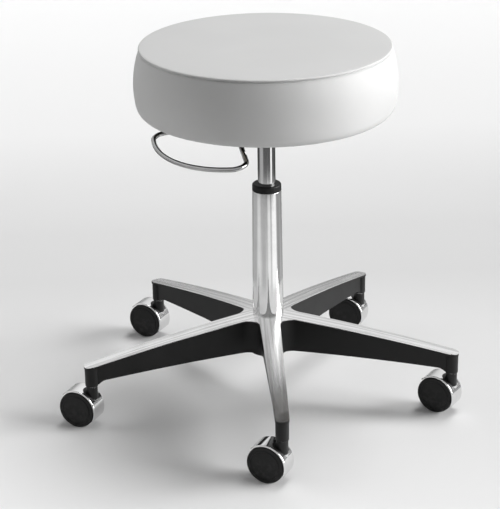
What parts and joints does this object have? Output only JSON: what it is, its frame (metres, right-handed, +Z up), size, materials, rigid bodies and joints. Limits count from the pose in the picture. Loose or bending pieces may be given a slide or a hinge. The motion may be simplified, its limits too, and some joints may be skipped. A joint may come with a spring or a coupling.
{
  "type": "exam stool",
  "caption": "Round padded exam stool on a gas-lift column with a wire release loop, a star base with polished top plates and black recessed sides, and hooded swivel casters.",
  "frame": {"origin": "on the floor, on the column's axis", "axes": "+Z up; the front leg of the base points along -Y; +X to the right when looking along +Y"},
  "size_m": [0.642, 0.6021, 0.5949],
  "materials": {
    "vinyl": "smooth light grey vinyl",
    "lining": "black non-woven lining",
    "foam": "open-cell foam",
    "plywood": "raw plywood",
    "steel": "zinc-plated",
    "black_steel": "black powder coat",
    "chrome": "bright chrome",
    "chrome_hood": "bright chrome",
    "cast_aluminium": "polished top plates, black sides",
    "brass": "turned",
    "black_plastic": "moulded",
    "wheel_plastic": "moulded",
    "rubber": "moulded"
  },
  "bodies": {
    "base": {"base_casting": "cast_aluminium", "column_tube": "chrome", "guide_bush": "black_plastic", "column_end_plate": "steel", "bearing_lower_race": "steel", "caster_stems": "steel", "stem_grip_rings": "steel"},
    "rod": {"piston_rod": "steel", "piston": "brass", "piston_seal": "rubber", "bearing_upper_race": "steel", "bumper": "rubber", "rod_washer": "steel", "rod_clip": "steel"},
    "balls": {"ball_cage": "black_plastic", "thrust_balls": "steel"},
    "seat": {"seat_cover": "vinyl", "seat_foam": "foam", "seat_board": "plywood", "tee_nuts": "steel", "dust_cover": "lining", "seat_pan": "black_steel", "taper_hub": "black_steel", "plate_screws": "steel", "lever_pivot_pin": "steel", "gas_cylinder": "chrome", "valve_body": "brass", "rod_guide": "black_plastic", "rod_seal": "rubber"},
    "release": {"release_lever": "black_steel", "release_handle": "chrome"},
    "valve": {"valve_pin": "steel"},
    "front_caster": {"front_hood": "chrome_hood", "front_axle": "steel"},
    "front_roller_left": {"front_wheel_left": "wheel_plastic"},
    "front_roller_right": {"front_wheel_right": "wheel_plastic"},
    "right_caster": {"right_hood": "chrome_hood", "right_axle": "steel"},
    "right_roller_left": {"right_wheel_left": "wheel_plastic"},
    "right_roller_right": {"right_wheel_right": "wheel_plastic"},
    "back_right_caster": {"back_right_hood": "chrome_hood", "back_right_axle": "steel"},
    "back_right_roller_left": {"back_right_wheel_left": "wheel_plastic"},
    "back_right_roller_right": {"back_right_wheel_right": "wheel_plastic"},
    "back_left_caster": {"back_left_hood": "chrome_hood", "back_left_axle": "steel"},
    "back_left_roller_left": {"back_left_wheel_left": "wheel_plastic"},
    "back_left_roller_right": {"back_left_wheel_right": "wheel_plastic"},
    "left_caster": {"left_hood": "chrome_hood", "left_axle": "steel"},
    "left_roller_left": {"left_wheel_left": "wheel_plastic"},
    "left_roller_right": {"left_wheel_right": "wheel_plastic"}
  },
  "joints": [
    {"name": "seat_swivel", "type": "hinge", "parent": "base", "child": "rod", "pos_m": [0, 0, 0.0989], "axis": [0, 0, 1], "continuous": true},
    {"name": "ball_drift", "type": "hinge", "parent": "base", "child": "balls", "pos_m": [0, 0, 0.0989], "axis": [0, 0, 1], "continuous": true},
    {"name": "seat_lift", "type": "slide", "parent": "rod", "child": "seat", "axis": [0, 0, 1], "range_m": [-0.07, 0.05]},
    {"name": "release_lift", "type": "hinge", "parent": "seat", "child": "release", "pos_m": [-0.0322, -0.02374, 0.462], "axis": [-0.5934, 0.8049, 0], "range_deg": [0, 5]},
    {"name": "valve_press", "type": "slide", "parent": "seat", "child": "valve", "axis": [0, 0, 1], "range_m": [-0.0036, 0]},
    {"name": "front_swivel", "type": "hinge", "parent": "base", "child": "front_caster", "pos_m": [0, -0.3, 0.0689], "axis": [0, 0, 1], "continuous": true},
    {"name": "front_roll_left", "type": "hinge", "parent": "front_caster", "child": "front_roller_left", "pos_m": [-0.01907, -0.29007, 0.03], "axis": [-0.4617, -0.887, 0], "continuous": true},
    {"name": "front_roll_right", "type": "hinge", "parent": "front_caster", "child": "front_roller_right", "pos_m": [-0.01907, -0.29007, 0.03], "axis": [-0.4617, -0.887, 0], "continuous": true},
    {"name": "right_swivel", "type": "hinge", "parent": "base", "child": "right_caster", "pos_m": [0.28532, -0.0927, 0.0689], "axis": [0, 0, 1], "continuous": true},
    {"name": "right_roll_left", "type": "hinge", "parent": "right_caster", "child": "right_roller_left", "pos_m": [0.2676, -0.08053, 0.03], "axis": [-0.5664, -0.8241, 0], "continuous": true},
    {"name": "right_roll_right", "type": "hinge", "parent": "right_caster", "child": "right_roller_right", "pos_m": [0.2676, -0.08053, 0.03], "axis": [-0.5664, -0.8241, 0], "continuous": true},
    {"name": "back_right_swivel", "type": "hinge", "parent": "base", "child": "back_right_caster", "pos_m": [0.17634, 0.24271, 0.0689], "axis": [0, 0, 1], "continuous": true},
    {"name": "back_right_roll_left", "type": "hinge", "parent": "back_right_caster", "child": "back_right_roller_left", "pos_m": [0.15685, 0.25179, 0.03], "axis": [-0.4226, -0.9063, 0], "continuous": true},
    {"name": "back_right_roll_right", "type": "hinge", "parent": "back_right_caster", "child": "back_right_roller_right", "pos_m": [0.15685, 0.25179, 0.03], "axis": [-0.4226, -0.9063, 0], "continuous": true},
    {"name": "back_left_swivel", "type": "hinge", "parent": "base", "child": "back_left_caster", "pos_m": [-0.17634, 0.24271, 0.0689], "axis": [0, 0, 1], "continuous": true},
    {"name": "back_left_roll_left", "type": "hinge", "parent": "back_left_caster", "child": "back_left_roller_left", "pos_m": [-0.19486, 0.25362, 0.03], "axis": [-0.5075, -0.8616, 0], "continuous": true},
    {"name": "back_left_roll_right", "type": "hinge", "parent": "back_left_caster", "child": "back_left_roller_right", "pos_m": [-0.19486, 0.25362, 0.03], "axis": [-0.5075, -0.8616, 0], "continuous": true},
    {"name": "left_swivel", "type": "hinge", "parent": "base", "child": "left_caster", "pos_m": [-0.28532, -0.0927, 0.0689], "axis": [0, 0, 1], "continuous": true},
    {"name": "left_roll_left", "type": "hinge", "parent": "left_caster", "child": "left_roller_left", "pos_m": [-0.30464, -0.08328, 0.03], "axis": [-0.4384, -0.8988, 0], "continuous": true},
    {"name": "left_roll_right", "type": "hinge", "parent": "left_caster", "child": "left_roller_right", "pos_m": [-0.30464, -0.08328, 0.03], "axis": [-0.4384, -0.8988, 0], "continuous": true}
  ],
  "couplings": [
    {"joint": "ball_drift", "follows": "seat_swivel", "ratio": 0.5},
    {"joint": "valve_press", "follows": "release_lift", "m_per_rad": -0.04}
  ]
}
